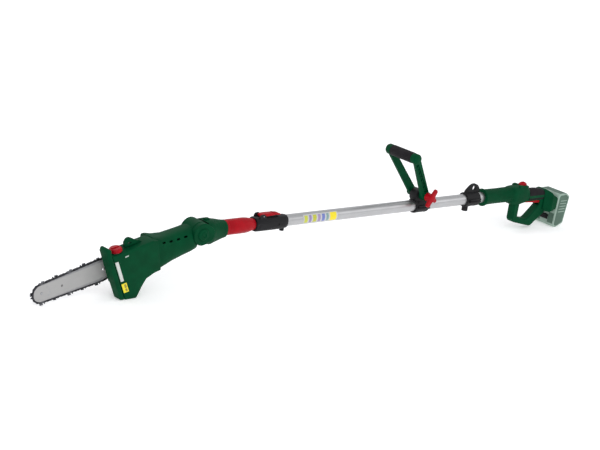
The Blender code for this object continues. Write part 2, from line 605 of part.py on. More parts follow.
lever = plate("lock_lever", TOOL, [
    (-98.2, 21), (-97.2, 24), (-94, 25.6), (-88, 26), (-76, 26.2), (-54, 25.6), (-38, 23.6), (-34.5, 21.6),
    (-35, 20), (-50, 20.2), (-76, 18.9), (-89, 17.4), (-95, 16.9), (-97.5, 18.4),
], -8.3, 8.3, "red_plastic", bevel=1.2)
lever_pin_room = rod("lever_pin_room", TOOL, "Y", (-94, 0, 21), -16, 16, 1.9, steps=16)
combined(lever, lever_pin_room, "DIFFERENCE")
rod("lever_pin", TOOL, "Y", (-94, 0, 21), -13.6, 13.6, 1.5, "plain_steel", steps=16)
turned("lock_screw", TOOL, "Z", (-18, 0, 0), [(-25.2, 3.0), (-22.8, 3.3), (-22.7, 1.6), (-16.2, 1.6)],
       slot="plain_steel", steps=20)

# ---------------------------------------------------------------- front D handle
arm_outline = [(370, 149), (374, 155), (383, 155.5), (388.5, 150.5), (394, 141), (470, 36), (467, 25), (458, 20.5),
               (449, 22.5), (444, 31), (371.5, 138)]
handle = plate("d_handle", TOOL, arm_outline, -5.5, 5.5, "green_plastic", bevel=1.6, segments=1)
far_arm = plate("far_arm", TOOL, arm_outline, -5.5, 5.5, bevel=1.6, segments=1)
LEAN = (50.0 - 24.6) / (GRIP_Z - CLAMP_Z)
for arm, side in ((handle, -1), (far_arm, 1)):
    shear = Matrix.Identity(4)
    shear[1][2] = side * LEAN
    shear[1][3] = side * (24.6 - LEAN * CLAMP_Z) * MM
    arm.data.transform(shear)
ARM_PANEL = [(386.5, 133), (379, 129), (446, 45), (457, 47)]
near_panel = plate("near_panel", TOOL, ARM_PANEL, -9.0, -2.0)
far_panel = plate("far_panel", TOOL, ARM_PANEL, 2.0, 9.0)
for panel, side in ((near_panel, -1), (far_panel, 1)):
    shear = Matrix.Identity(4)
    shear[1][2] = side * LEAN
    shear[1][3] = side * (24.6 - LEAN * CLAMP_Z) * MM
    panel.data.transform(shear)
grip_core = turned("grip_core", TOOL, "Y", (GRIP_X, 0, GRIP_Z), [
    (-58, 8), (-56, 12.5), (-53, 14), (-39.6, 14), (-39.5, 9.4), (39.5, 9.4), (39.6, 14), (53, 14), (56, 12.5), (58, 8),
], steps=24)
handle_bolt_room = turned("handle_bolt_room", TOOL, "Y", (CLAMP_X, 0, CLAMP_Z), [
    (-55, 4.4), (27.2, 4.4), (27.3, 7.6), (48, 7.6),
], steps=18)
inside_trim = box("inside_trim", TOOL, (425, -13.5, 0), (490, 13.5, 56))
far_foot = rod("far_foot", TOOL, "Y", (CLAMP_X, 0, CLAMP_Z), 13.6, 32.5, 12.8, steps=20)
near_foot = rod("near_foot", TOOL, "Y", (CLAMP_X, 0, CLAMP_Z), -33.0, -13.6, 12.8, steps=22)
combined(handle, near_panel, "DIFFERENCE")
combined(handle, grip_core, "UNION")
combined(handle, far_arm, "UNION")
combined(handle, far_panel, "DIFFERENCE")
combined(handle, inside_trim, "DIFFERENCE")
combined(handle, far_foot, "UNION")
combined(handle, near_foot, "UNION")
combined(handle, handle_bolt_room, "DIFFERENCE")

turned("d_grip_rubber", TOOL, "Y", (GRIP_X, 0, GRIP_Z), [
    (-39.1, 13.6), (-37.5, 14.6), (37.5, 14.6), (39.1, 13.6),
], [(-39.1, 9.8), (39.1, 9.8)], "soft_rubber", steps=24)

upper = plate("handle_clamp_upper", TOOL, [
    (442, 8), (442, 15), (438, 20), (436.5, 27), (438, 36), (443.5, 43), (452, 46), (462, 45.4), (470, 40), (473.5, 30),
    (477, 21), (483, 15), (483, 8),
], -13, 13, "black_plastic", bevel=1.6)
upper_ring = turned("upper_ring", TOOL, "X", (0, 0, 0), [(441, 18.5), (443, 20), (487, 20), (489, 18.5)],
                    [(441, 10), (489, 10)], steps=28)
upper_ears = box("upper_ears", TOOL, (444, -25, 0.5), (486, 25, 5.5), bevel=1.2)
clamp_bore = rod("clamp_bore", TOOL, "X", (0, 0, 0), 400, 700, OUTER_R + 0.4, steps=28)
clamp_bolt_room = rod("clamp_bolt_room", TOOL, "Y", (CLAMP_X, 0, CLAMP_Z), -50, 50, 4.4)
upper_trim = box("upper_trim", TOOL, (420, -40, -30), (500, 40, 0.3))
combined(upper, upper_ring, "UNION")
combined(upper, upper_ears, "UNION")
combined(upper, clamp_bore, "DIFFERENCE")
combined(upper, clamp_bolt_room, "DIFFERENCE")
combined(upper, upper_trim, "DIFFERENCE")
lower = turned("handle_clamp_lower", TOOL, "X", (0, 0, 0), [(441, 18.5), (443, 20), (487, 20), (489, 18.5)],
               [(441, 10), (489, 10)], "black_plastic", steps=28)
lower_ears = box("lower_ears", TOOL, (444, -25, -5.5), (486, 25, -0.3), bevel=1.2)
lower_trim = box("lower_trim", TOOL, (420, -40, -0.3), (500, 40, 30))
combined(lower, lower_ears, "UNION")
combined(lower, clamp_bore, "DIFFERENCE")
combined(lower, lower_trim, "DIFFERENCE")

turned("clamp_bolt", TOOL, "Y", (CLAMP_X, 0, CLAMP_Z), [(-50, 3.9), (27.6, 3.9), (27.6, 7.0), (32.3, 7.0)],
                    slot="plain_steel", steps=24)
knob = turned("wing_knob", TOOL, "Y", (CLAMP_X, 0, CLAMP_Z), [
    (-56, 7), (-54.5, 10), (-46, 11.2), (-34.6, 11.8), (-33.6, 11),
], slot="red_plastic", steps=24)
wing_place = TOOL @ Matrix.Translation((CLAMP_X * MM, 0, CLAMP_Z * MM)) @ Matrix.Rotation(-math.radians(59), 4, "Y")
wings = plate("wings", wing_place, [
    (-26, -3), (-27, 3), (-24, 7), (-14, 8), (0, 9.5), (14, 8), (24, 7), (27, 3), (26, -3), (22, -6), (10, -6.5),
    (0, -9.5), (-10, -6.5), (-22, -6),
], -55, -47, bevel=1.8, segments=1)
third_lobe = plate("third_lobe", wing_place, [(-6, -2), (-5.5, -16), (-2, -19), (2, -19), (5.5, -16), (6, -2)],
                   -54, -48, bevel=1.5, segments=1)
knob_room = rod("knob_room", TOOL, "Y", (CLAMP_X, 0, CLAMP_Z), -50.6, -20, 4.3)
combined(knob, wings, "UNION")
combined(knob, third_lobe, "UNION")
combined(knob, knob_room, "DIFFERENCE")

# ---------------------------------------------------------------- strap clamp
strap_ring = [(637, 18.5), (638.5, 20), (686.5, 20), (688, 18.5)]
eyelet = turned("strap_clamp_upper", TOOL, "X", (0, 0, 0), strap_ring,
                [(637, 10), (688, 10)], "black_plastic", steps=28)
eyelet_plate = plate("eyelet_plate", TOOL, [
    (639, 16.5), (641, 24), (648, 31), (657, 38.5), (666, 42.5), (675, 42.8), (684, 39), (691, 31), (695, 22),
    (694, 17), (686, 16.5),
], -4, 4, bevel=1.2, holes=[arc(671, 31, 6.8, 0, 337.5, 15)])
strap_ears = box("strap_ears", TOOL, (642, -25, 0.5), (684, 25, 5), bevel=1.2)
strap_trim = box("strap_trim", TOOL, (620, -40, -30), (700, 40, 0.3))
combined(eyelet, eyelet_plate, "UNION")
combined(eyelet, strap_ears, "UNION")
combined(eyelet, clamp_bore, "DIFFERENCE")
combined(eyelet, strap_trim, "DIFFERENCE")
strap_lower = turned("strap_clamp_lower", TOOL, "X", (0, 0, 0), strap_ring,
                     [(637, 10), (688, 10)], "black_plastic", steps=28)
strap_lower_ears = box("strap_lower_ears", TOOL, (642, -25, -5), (684, 25, -0.3), bevel=1.2)
strap_boss = rod("strap_boss", TOOL, "Z", (649, 0, 0), -32, -17, 8.5, steps=20)
strap_screw_room = turned("strap_screw_room", TOOL, "Z", (649, 0, 0), [(-36, 5.0), (-26, 5.0), (-25.9, 2.4), (-10, 2.4)],
                          steps=24)
strap_trim_low = box("strap_trim_low", TOOL, (620, -40, -0.3), (700, 40, 30))
combined(strap_lower, strap_lower_ears, "UNION")
combined(strap_lower, strap_boss, "UNION")
combined(strap_lower, clamp_bore, "DIFFERENCE")
combined(strap_lower, strap_screw_room, "DIFFERENCE")
combined(strap_lower, strap_trim_low, "DIFFERENCE")
turned("strap_screw", TOOL, "Z", (649, 0, 0), [(-31, 4.0), (-27, 4.5), (-26.4, 4.5), (-26.3, 2.0), (-16, 2.0)],
       slot="plain_steel", steps=20)

# ---------------------------------------------------------------- rear handle
barrel = turned("barrel_block", TOOL, "X", (0, 0, 0), [
    (709, 23.4), (710, 24.5), (713, 24.5), (715, 21.8), (760, 21.2), (826, 21.8),
], steps=24)
hub = loft("hub_block", TOOL, [
    (818, 19.5, -22, 21.2, 2.4), (823, 22.6, -27, 22.4, 2.8), (835, 23.5, -30.5, 23.4, 2.8), (854, 24, -31.5, 23.6, 2.8),
    (877, 22.5, -28, 23.6, 2.7), (888, 19.5, -25, 19, 2.5), (894, 16, -23, 9.4, 2.2),
], around=24)
grip = loft("grip_block", TOOL, [
    (880, 14.2, -24, 8.6, 2.4), (905, 14.8, -24.4, 8.4, 2.4), (925, 15.4, -24.8, 8, 2.4), (948, 15.4, -25, 5.4, 2.4),
    (962, 15.4, -26, 3, 2.4),
], around=20)
bracket = loft("bracket_block", TOOL, [
    (957, 17.5, -56, 4.4, 4.0), (965, 27, -58, 6.4, 5.0), (972, 36, -58.5, 1.2, 7.0), (981, 36, -55, -6, 7.0),
    (988, 36, -51.5, -11, 7.0), (996, 36, -49, -13.5, 7.0),
], around=24)
battery_clearance = plate("battery_clearance", TOOL, [(994.3, 10), (1060, 10), (1060, -130), (985.5, -130)], -60, 60)
LOOP = [(841, -14), (840.5, -73), (846, -81), (914, -98), (922, -97), (984, -53), (984, -20), (940, -14)]
FINGER_GAP = [(859, -67), (889, -75), (899, -76), (906, -72.5), (948, -36), (948, -24.6), (861, -24.6)]
button_ear_near = plate("button_ear_near", TOOL, [(845, 18), (847, 25), (852, 26.6), (860, 26), (864, 23), (876, 23),
                                                   (881, 25), (885, 18)], -17, -8.2, bevel=1.5, segments=1)
button_ear_far = plate("button_ear_far", TOOL, [(845, 18), (847, 25), (852, 26.6), (860, 26), (864, 23), (876, 23),
                                                 (881, 25), (885, 18)], 8.2, 17, bevel=1.5, segments=1)
tube_seat = rod("tube_seat", TOOL, "X", (0, 0, 0), 700, 762, OUTER_R + 0.4, steps=24)
barrel_room = rod("barrel_room", TOOL, "X", (0, 0, 0), 761, 842, 17.4, steps=16)
hub_room = loft("hub_room", TOOL, [
    (823, 17, -20, 17.6, 2.6), (852, 19, -24, 19, 2.7), (879, 16.5, -21, 17, 2.6), (905, 11.5, -20.5, 4.5, 2.4),
    (950, 11.5, -20.5, 2, 2.4), (970, 11.5, -22, -5, 2.6), (978, 11.5, -24, -12, 2.6),
], around=16)
bracket_room = box("bracket_room", TOOL, (976, -30, -45), (985, 30, -14))
button_slot = box("button_slot", TOOL, (861.4, -7.6, 10), (884.6, 7.6, 40))
trigger_slot = box("trigger_slot", TOOL, (876, -8.8, -40), (952, 8.8, -15))
shell_near = box("shell_near", TOOL, (690, -0.15, -130), (1010, 80, 60))
shell_far = box("shell_far", TOOL, (690, -80, -130), (1010, 0.15, 60))

for name, other_half in (("handle_shell_left", shell_near), ("handle_shell_right", shell_far)):
    shell = plate(name, TOOL, LOOP, -13, 13, "green_plastic", bevel=2.4, holes=[FINGER_GAP], segments=1)
    combined(shell, barrel, "UNION")
    combined(shell, hub, "UNION")
    combined(shell, grip, "UNION")
    combined(shell, bracket, "UNION")
    combined(shell, button_ear_near, "UNION")
    combined(shell, button_ear_far, "UNION")
    combined(shell, tube_seat, "DIFFERENCE")
    combined(shell, barrel_room, "DIFFERENCE")
    combined(shell, hub_room, "DIFFERENCE")
    combined(shell, bracket_room, "DIFFERENCE")
    combined(shell, button_slot, "DIFFERENCE")
    combined(shell, trigger_slot, "DIFFERENCE")
    combined(shell, battery_clearance, "DIFFERENCE")
    combined(shell, other_half, "DIFFERENCE")
rubber = loft("grip_rubber", TOOL, [
    (895, 16.2, -25.4, 10.2, 2.4), (898, 17.0, -26.0, 10.8, 2.4), (925, 17.4, -26.6, 10.2, 2.4),
    (945, 17.4, -26.8, 8.0, 2.4), (953, 17.1, -27.2, 6.6, 2.4), (956, 16.4, -26.8, 5.8, 2.4),
], "soft_rubber", around=28)
grip_room = loft("grip_room", TOOL, [
    (880, 14.6, -24.4, 9.0, 2.4), (905, 15.2, -24.8, 8.8, 2.4), (925, 15.8, -25.2, 8.4, 2.4), (948, 15.8, -25.4, 5.8, 2.4),
    (962, 15.8, -26.4, 3.4, 2.4),
], around=28)
rubber_slot = box("rubber_slot", TOOL, (885, -13.5, -40), (966, 13.5, -13))
combined(rubber, grip_room, "DIFFERENCE")
combined(rubber, rubber_slot, "DIFFERENCE")

plate("trigger", TOOL, [
    (879, -17), (877.5, -22), (879, -26), (886, -28), (915, -30), (934, -32.4), (946, -33), (948.5, -29.5), (947, -22),
    (915, -18.6),
], -8.2, 8.2, "red_plastic", bevel=1.4)
plate("lock_off_button", TOOL, [
    (862, 14), (862, 25), (864.5, 29), (869, 31), (877, 31), (881.5, 29), (884, 25), (884, 14),
], -7.0, 7.0, "red_plastic", bevel=1.8)
box("power_switch", TOOL, (884, -7, -13), (908, 7, 1), "black_plastic", bevel=1.0)
box("terminal_block", TOOL, (976.6, -20, -40), (983.4, 20, -16), "black_plastic", bevel=1.0)

# ---------------------------------------------------------------- wiring inside the pole
wire("inner_lead", TOOL, [(-255, 0, 0), (-120, 0, 0), (200, 0, 0), (492, 0, 0), (509.5, 0, 0)], 2.6, "black_plastic")
coil = []
for i in range(8 * 8 + 1):
    turn = 2 * math.pi * i / 8
    coil.append((514 + 240 * i / 64, 8.6 * math.cos(turn), 8.6 * math.sin(turn)))
wire("coiled_lead", TOOL, coil, 2.2, "black_plastic", sides=0)

# ---------------------------------------------------------------- battery pack
PACK_FRONT = [(993.4, -11.5), (999, -4.5), (1020.8, -3.9), (1007.3, -100.3), (1001, -102.6), (990.4, -99.6),
              (988.2, -94)]
PACK_REAR = [(1021.2, -3.95), (1029, -4.2), (1041.6, -14), (1030.4, -88), (1027, -93), (1007.8, -100.05)]
pack = plate("battery_shell_front", TOOL, PACK_FRONT, -37.5, 37.5, "grey_plastic", bevel=1.8)
pack_rear = plate("battery_shell_rear", TOOL, PACK_REAR, -37.5, 37.5, "grey_plastic", bevel=1.8)
pack_room = plate("pack_room", TOOL, [
    (996.2, -13), (1001, -7.2), (1028, -6.8), (1039.3, -15.6), (1028.5, -85), (1025.5, -90.4), (1001, -99.6),
    (991.0, -93.4),
], -34.9, 34.9)
latch_room = box("latch_room", TOOL, (980, -13.4, -84.4), (994, 13.4, -69.6))
combined(pack, pack_room, "DIFFERENCE")
combined(pack, latch_room, "DIFFERENCE")
combined(pack_rear, pack_room, "DIFFERENCE")

CELLS = [(1028.6, -21.5), (1025.8, -39.6), (1022.9, -57.7), (1011.5, -28.0), (1008.6, -46.1)]
for number, (x, z) in enumerate(CELLS, 1):
    turned(f"cell_{number}", TOOL, "Y", (x, 0, z), [
        (-32.5, 8.6), (-31.8, 9.0), (31.8, 9.0), (32.4, 8.6), (32.4, 4.0), (33.6, 4.0),
    ], slot="green_plastic", steps=16)
box("battery_latch", TOOL, (985.8, -13, -84), (992.2, 13, -70), "black_plastic", bevel=1.0)
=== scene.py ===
"""A battery pole saw on a pale floor: materials, fine detail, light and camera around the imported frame.

Lengths are in millimetres unless a name says otherwise. TOOL runs along the pole toward the battery from
the pole's lock. HEAD runs back from the swivel, so that the bar points toward -x in it.
"""

import math

import bmesh
import bpy
from mathutils import Matrix, Vector


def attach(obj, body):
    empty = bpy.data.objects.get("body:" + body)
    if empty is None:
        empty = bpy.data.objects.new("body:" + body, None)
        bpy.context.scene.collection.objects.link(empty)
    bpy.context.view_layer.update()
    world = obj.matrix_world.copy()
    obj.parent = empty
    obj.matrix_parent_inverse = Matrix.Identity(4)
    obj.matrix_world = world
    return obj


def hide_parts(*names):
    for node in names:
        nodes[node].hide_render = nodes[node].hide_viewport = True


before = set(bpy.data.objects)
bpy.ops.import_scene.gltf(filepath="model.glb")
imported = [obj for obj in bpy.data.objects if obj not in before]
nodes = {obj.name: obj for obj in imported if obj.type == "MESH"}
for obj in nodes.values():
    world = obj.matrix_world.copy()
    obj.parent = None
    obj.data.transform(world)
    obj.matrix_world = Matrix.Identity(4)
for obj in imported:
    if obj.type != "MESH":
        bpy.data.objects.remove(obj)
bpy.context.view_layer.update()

MM = 0.001
TILT = math.radians(1.3873)  # the pole's slope as the saw rests on the floor
DROOP = math.radians(13.5)  # how far the head hangs below the pole's line at rest
TOOL = Matrix.Translation((-0.14048, 0, 0.1268)) @ Matrix.Rotation(TILT, 4, "Y")
PIVOT = TOOL @ Matrix.Translation((-0.302, 0, 0.001))
HEAD = PIVOT @ Matrix.Rotation(-DROOP, 4, "Y")
UNMOVED = Matrix.Identity(4)

# The bar and its chain. Each _H is a distance ahead of the swivel.
BAR_Y = 12.0  # middle of the bar's thickness
BAR_V = -13.5  # the bar's middle line
NOSE_H = 441.0
NOSE_R = 20.5
BASE_H = 273.0  # where the bar is tallest
BASE_HALF = 26.0
DIMPLE_H = 383.0
DRIVE_H = 195.0
PITCH_R = 18.2  # where the drive sprocket carries the rivets
RIVET_RISE = 2.8  # rivets above the bar's edge
CUTTER_PITCH = 38.1
BAR_RIVET_SPOTS = ((421.5, -11), (417, -4), (417, 4), (421.5, 11))

OUTER_R = 15.0  # the outer tube
HEAD_SIDE = 36.8  # a label's seat on the head's near side
RIB_COUNT = 8  # cross ribs in each arm of the front handle


def srgb(red, green, blue):
    """A display colour, 0 to 255, as linear light."""
    linear = []
    for value in (red, green, blue):
        share = value / 255
        linear.append(share / 12.92 if share <= 0.04045 else ((share + 0.055) / 1.055) ** 2.4)
    return (*linear, 1.0)


def darker(colour, share):
    return (colour[0] * share, colour[1] * share, colour[2] * share, 1.0)


# ---------------------------------------------------------------- materials
class Finish:
    """A material under construction: a Principled shader and short calls for the nodes that feed it."""

    def __init__(self, name, roughness=0.5, metallic=0.0, specular=0.5, place=None):
        self.material = bpy.data.materials.new(name)
        self.material.use_nodes = True
        self.tree = self.material.node_tree
        self.shader = self.tree.nodes["Principled BSDF"]
        self.shader.inputs["Roughness"].default_value = roughness
        self.shader.inputs["Metallic"].default_value = metallic
        self.shader.inputs["Specular IOR Level"].default_value = specular
        self.where = self.tree.nodes.new("ShaderNodeTexCoord").outputs["Object"]
        if place is not None:
            self.where = self.mapped(self.where, place.inverted())

    def put(self, socket, value):
        if isinstance(value, bpy.types.NodeSocket):
            self.tree.links.new(value, socket)
        else:
            socket.default_value = value

    def mapped(self, vector, matrix=None, scale=(1, 1, 1)):
        mapping = self.tree.nodes.new("ShaderNodeMapping")
        self.put(mapping.inputs["Vector"], vector)
        if matrix is not None:
            mapping.inputs["Location"].default_value = matrix.to_translation()
            mapping.inputs["Rotation"].default_value = matrix.to_euler("XYZ")
        mapping.inputs["Scale"].default_value = scale
        return mapping.outputs["Vector"]

    def noise(self, scale, detail=2.0, stretch=None, rough=0.5):
        texture = self.tree.nodes.new("ShaderNodeTexNoise")
        vector = self.where if stretch is None else self.mapped(self.where, scale=stretch)
        self.put(texture.inputs["Vector"], vector)
        texture.inputs["Scale"].default_value = scale
        texture.inputs["Detail"].default_value = detail
        texture.inputs["Roughness"].default_value = rough
        return texture.outputs["Fac"]

    def part(self, axis):
        split = self.tree.nodes.new("ShaderNodeSeparateXYZ")
        self.put(split.inputs[0], self.where)
        return split.outputs[axis]

    def sum(self, operation, first, second=0.0, third=0.0):
        step = self.tree.nodes.new("ShaderNodeMath")
        step.operation = operation
        for socket, value in zip(step.inputs, (first, second, third)):
            self.put(socket, value)
        return step.outputs[0]

    def ranged(self, value, low, high, to_low=0.0, to_high=1.0, smooth=False):
        step = self.tree.nodes.new("ShaderNodeMapRange")
        step.interpolation_type = "SMOOTHSTEP" if smooth else "LINEAR"
        for name, number in (("Value", value), ("From Min", low), ("From Max", high), ("To Min", to_low),
                             ("To Max", to_high)):
            self.put(step.inputs[name], number)
        return step.outputs["Result"]

    def within(self, value, low, high, soft):
        """1 between low and high, falling to 0 over soft on each side."""
        rise = self.ranged(value, low - soft, low, smooth=True)
        fall = self.ranged(value, high, high + soft, 1.0, 0.0, smooth=True)
        return self.sum("MULTIPLY", rise, fall)

    def mixed(self, share, first, second):
        step = self.tree.nodes.new("ShaderNodeMix")
        step.data_type = "RGBA"
        self.put(step.inputs["Factor"], share)
        self.put(step.inputs["A"], first)
        self.put(step.inputs["B"], second)
        return step.outputs["Result"]

    def colour(self, value):
        self.put(self.shader.inputs["Base Color"], value)

    def roughness(self, value):
        self.put(self.shader.inputs["Roughness"], value)

    def bump(self, *layers):
        """Each layer is (height, strength, distance in metres)."""
        normal = None
        for height, strength, distance in layers:
            step = self.tree.nodes.new("ShaderNodeBump")
            step.inputs["Strength"].default_value = strength
            step.inputs["Distance"].default_value = distance
            self.put(step.inputs["Height"], height)
            if normal is not None:
                self.put(step.inputs["Normal"], normal)
            normal = step.outputs["Normal"]
        self.put(self.shader.inputs["Normal"], normal)


def moulded(name, colour, rough=0.46, specular=0.35, grain_depth=0.35, place=None):
    """Injection-moulded plastic: a fine spark texture, faint flow marks and handling sheen."""
    finish = Finish(name, rough, 0.0, specular, place)
    flow = finish.noise(34, 3.0)
    speck = finish.noise(420, 2.0)
    toned = finish.mixed(finish.ranged(flow, 0.35, 0.7), darker(colour, 0.86), darker(colour, 1.12))
    finish.colour(finish.mixed(finish.ranged(speck, 0.6, 0.85, 0, 0.35), toned, darker(colour, 1.35)))
    handled = finish.sum("MULTIPLY", finish.noise(17, 4.0), 0.16)
    finish.roughness(finish.sum("ADD", handled, rough - 0.08))
    spark = finish.noise(1500, 2.0, rough=0.6)
    finish.bump((flow, 0.12, 0.0006), (spark, grain_depth, 0.00018))
    return finish


GREEN = srgb(0, 66, 38)
RED = srgb(164, 8, 24)
BLACK = srgb(24, 24, 26)
GREY_GREEN = srgb(78, 104, 90)
PALE_EDGE_HIGHLIGHT = srgb(146, 168, 155)

green = moulded("moulded_green", GREEN, rough=0.5, specular=0.05)
red = moulded("moulded_red", RED, rough=0.4, specular=0.12, grain_depth=0.18)
black = moulded("moulded_black", BLACK, rough=0.5, specular=0.18)
# Painted highlight: the battery's pale finish stands for light along its edges; it shows round darker inset panels
# and on the ribs.
pack_edge_highlight = moulded("battery_painted_edge_highlight", PALE_EDGE_HIGHLIGHT, rough=0.4, specular=0.4)
pack_panel = moulded("battery_panel", GREY_GREEN, rough=0.52, specular=0.3)
cell_wrap = moulded("cell_wrap", srgb(40, 120, 92), rough=0.25, specular=0.5, grain_depth=0.05)
tank_skin = moulded("oil_tank_plastic", srgb(196, 198, 188), rough=0.35)

# The rear handle's barrel has fine lengthwise flutes.
shell = moulded("handle_green", GREEN, rough=0.5, specular=0.05, place=TOOL)
turn = shell.sum("ARCTAN2", shell.part("Z"), shell.part("Y"))
FLUTES = 56.0
# Places inside a shader are in metres.
BARREL_START, BARREL_END = 0.722, 0.822
flute = shell.sum("SINE", shell.sum("MULTIPLY", turn, FLUTES))
fluted = shell.sum("MULTIPLY", flute, shell.within(shell.part("X"), BARREL_START, BARREL_END, 0.004))
shell.bump((shell.noise(34, 3.0), 0.12, 0.0006), (fluted, 0.6, 0.00035), (shell.noise(1500, 2.0), 0.35, 0.00018))

# The yoke behind the swivel has ribs across it.
yoke = moulded("yoke_green", GREEN, rough=0.5, specular=0.05, place=TOOL)
YOKE_RIB_PITCH = 0.0068
YOKE_RIBS_START, YOKE_RIBS_END = -0.262, -0.216
rib = yoke.sum("SINE", yoke.sum("MULTIPLY", yoke.part("X"), 2 * math.pi / YOKE_RIB_PITCH))
rib = yoke.sum("MULTIPLY", yoke.sum("POWER", yoke.sum("ABSOLUTE", rib), 3.0),
               yoke.within(yoke.part("X"), YOKE_RIBS_START, YOKE_RIBS_END, 0.003))
yoke.bump((rib, 0.55, 0.0009), (yoke.noise(1500, 2.0), 0.35, 0.00018))


def rubbery(name, place, rib_axis, rib_pitch, rib_strength=0.5):
    finish = Finish(name, 0.78, 0.0, 0.15, place)
    colour = srgb(28, 26, 28)
    dust = finish.noise(60, 5.0, rough=0.7)
    finish.colour(finish.mixed(finish.ranged(dust, 0.45, 0.75), colour, darker(colour, 1.7)))
    finish.roughness(finish.ranged(finish.noise(120, 3.0), 0.3, 0.7, 0.62, 0.86))
    wave = finish.sum("SINE", finish.sum("MULTIPLY", finish.part(rib_axis), 2 * math.pi / rib_pitch))
    finish.bump((wave, rib_strength, 0.0004), (finish.noise(1900, 2.0), 0.4, 0.0002))
    return finish


front_rubber = rubbery("rubber_front_grip", TOOL, "Y", 0.0042)
# The rear grip's overmould leaves a green band along its side.
rear_rubber = rubbery("rubber_rear_grip", TOOL, "X", 0.0036, 0.25)
band = rear_rubber.within(rear_rubber.part("Z"), -0.0150, -0.0075, 0.0004)
before = rear_rubber.shader.inputs["Base Color"].links[0].from_socket
rear_rubber.colour(rear_rubber.mixed(band, before, GREEN))


def brushed(name, place, colour, rough, stretch, grain, streak=0.12, depth=0.12):
    """Metal with fine lines along one way: stretch is small along the lines."""
    finish = Finish(name, rough, 1.0, 0.5, place)
    line = finish.noise(grain, 3.0, stretch=stretch)
    cloud = finish.noise(26, 4.0)
    toned = finish.mixed(line, darker(colour, 1 - streak), darker(colour, 1 + streak))
    finish.colour(finish.mixed(finish.ranged(cloud, 0.4, 0.75, 0, 0.5), toned, darker(colour, 0.86)))
    spread = finish.sum("MULTIPLY_ADD", line, 0.14, rough - 0.07)
    finish.roughness(finish.sum("MULTIPLY_ADD", cloud, 0.1, spread))
    finish.bump((line, depth, 0.0002))
    return finish


tube = brushed("satin_aluminium", TOOL, srgb(186, 186, 187), 0.34, (0.02, 1, 1), 900, 0.06, 0.08)
inner_tube = brushed("satin_aluminium_inner", TOOL, srgb(180, 181, 184), 0.3, (0.02, 1, 1), 900, 0.06, 0.08)
steel = brushed("turned_steel", None, srgb(172, 173, 176), 0.32, (1, 1, 1), 700)
bar_steel = brushed("bar_steel", HEAD, srgb(170, 169, 168), 0.6, (0.05, 1, 1), 800, 0.05, 0.12)
bar_steel.shader.inputs["Metallic"].default_value = 0.1
# The chain wears the bar along both edges.
reach = bar_steel.sum("ABSOLUTE", bar_steel.sum("ADD", bar_steel.part("Z"), -BAR_V * MM))
edge = bar_steel.ranged(reach, 0.0185, 0.0215, smooth=True)
plain_bar = bar_steel.shader.inputs["Base Color"].links[0].from_socket
worn = bar_steel.sum("MULTIPLY", edge, bar_steel.ranged(bar_steel.noise(90, 4.0), 0.3, 0.7, 0.35, 0.9))
toned_bar = bar_steel.mixed(worn, plain_bar, srgb(128, 129, 133))
# Painted shade: a small dark disc on the bar's middle line stands for the shade in a dimple that is not modelled.
away_x = bar_steel.sum("POWER", bar_steel.sum("ADD", bar_steel.part("X"), DIMPLE_H * MM), 2.0)
away_z = bar_steel.sum("POWER", bar_steel.sum("ADD", bar_steel.part("Z"), -BAR_V * MM), 2.0)
away = bar_steel.sum("SQRT", bar_steel.sum("ADD", away_x, away_z))
dimple_shade = bar_steel.ranged(away, 0.0028, 0.0034, 1.0, 0.0)
bar_steel.colour(bar_steel.mixed(dimple_shade, toned_bar, srgb(110, 109, 108)))


def oiled(name, colour, rough):
    """Chain steel: blued, with a film of oil and bright worn spots."""
    finish = Finish(name, rough, 1.0, 0.5, None)
    film = finish.noise(260, 4.0)
    rub = finish.ranged(finish.noise(700, 2.0), 0.58, 0.72)
    finish.colour(finish.mixed(rub, finish.mixed(film, darker(colour, 0.7), colour), darker(colour, 2.0)))
    finish.roughness(finish.ranged(film, 0.3, 0.7, rough - 0.12, rough + 0.16))
    finish.bump((film, 0.15, 0.0002))
    return finish


link_steel = oiled("chain_link_steel", srgb(66, 66, 70), 0.42)
cutter_steel = oiled("chain_cutter_steel", srgb(104, 105, 109), 0.34)

window = Finish("oil_window_plastic", 0.18, 0.0, 0.5)
haze = window.noise(55, 3.0)
window.colour(window.mixed(haze, srgb(196, 202, 196), srgb(222, 226, 220)))
window.roughness(window.ranged(haze, 0.3, 0.7, 0.12, 0.28))
window.bump((window.noise(400, 2.0), 0.06, 0.0002))
window.shader.inputs["Transmission Weight"].default_value = 0.12
window.shader.inputs["Coat Weight"].default_value = 0.5


def film_finish(name, colour):
    """A film finish for the printed labels and for one painted highlight: faint mottle under a satin laminate."""
    finish = Finish(name, 0.35, 0.0, 0.4)
    mottle = finish.noise(600, 3.0)
    finish.colour(finish.mixed(mottle, darker(colour, 0.92), darker(colour, 1.05)))
    finish.roughness(finish.ranged(mottle, 0.3, 0.7, 0.3, 0.42))
    finish.bump((finish.noise(240, 3.0), 0.1, 0.0001))
    return finish


lead_skin = moulded("lead_sheath", srgb(38, 38, 40), rough=0.42, grain_depth=0.1)
inside_black = moulded("moulded_black_inside", srgb(40, 41, 43), rough=0.6)

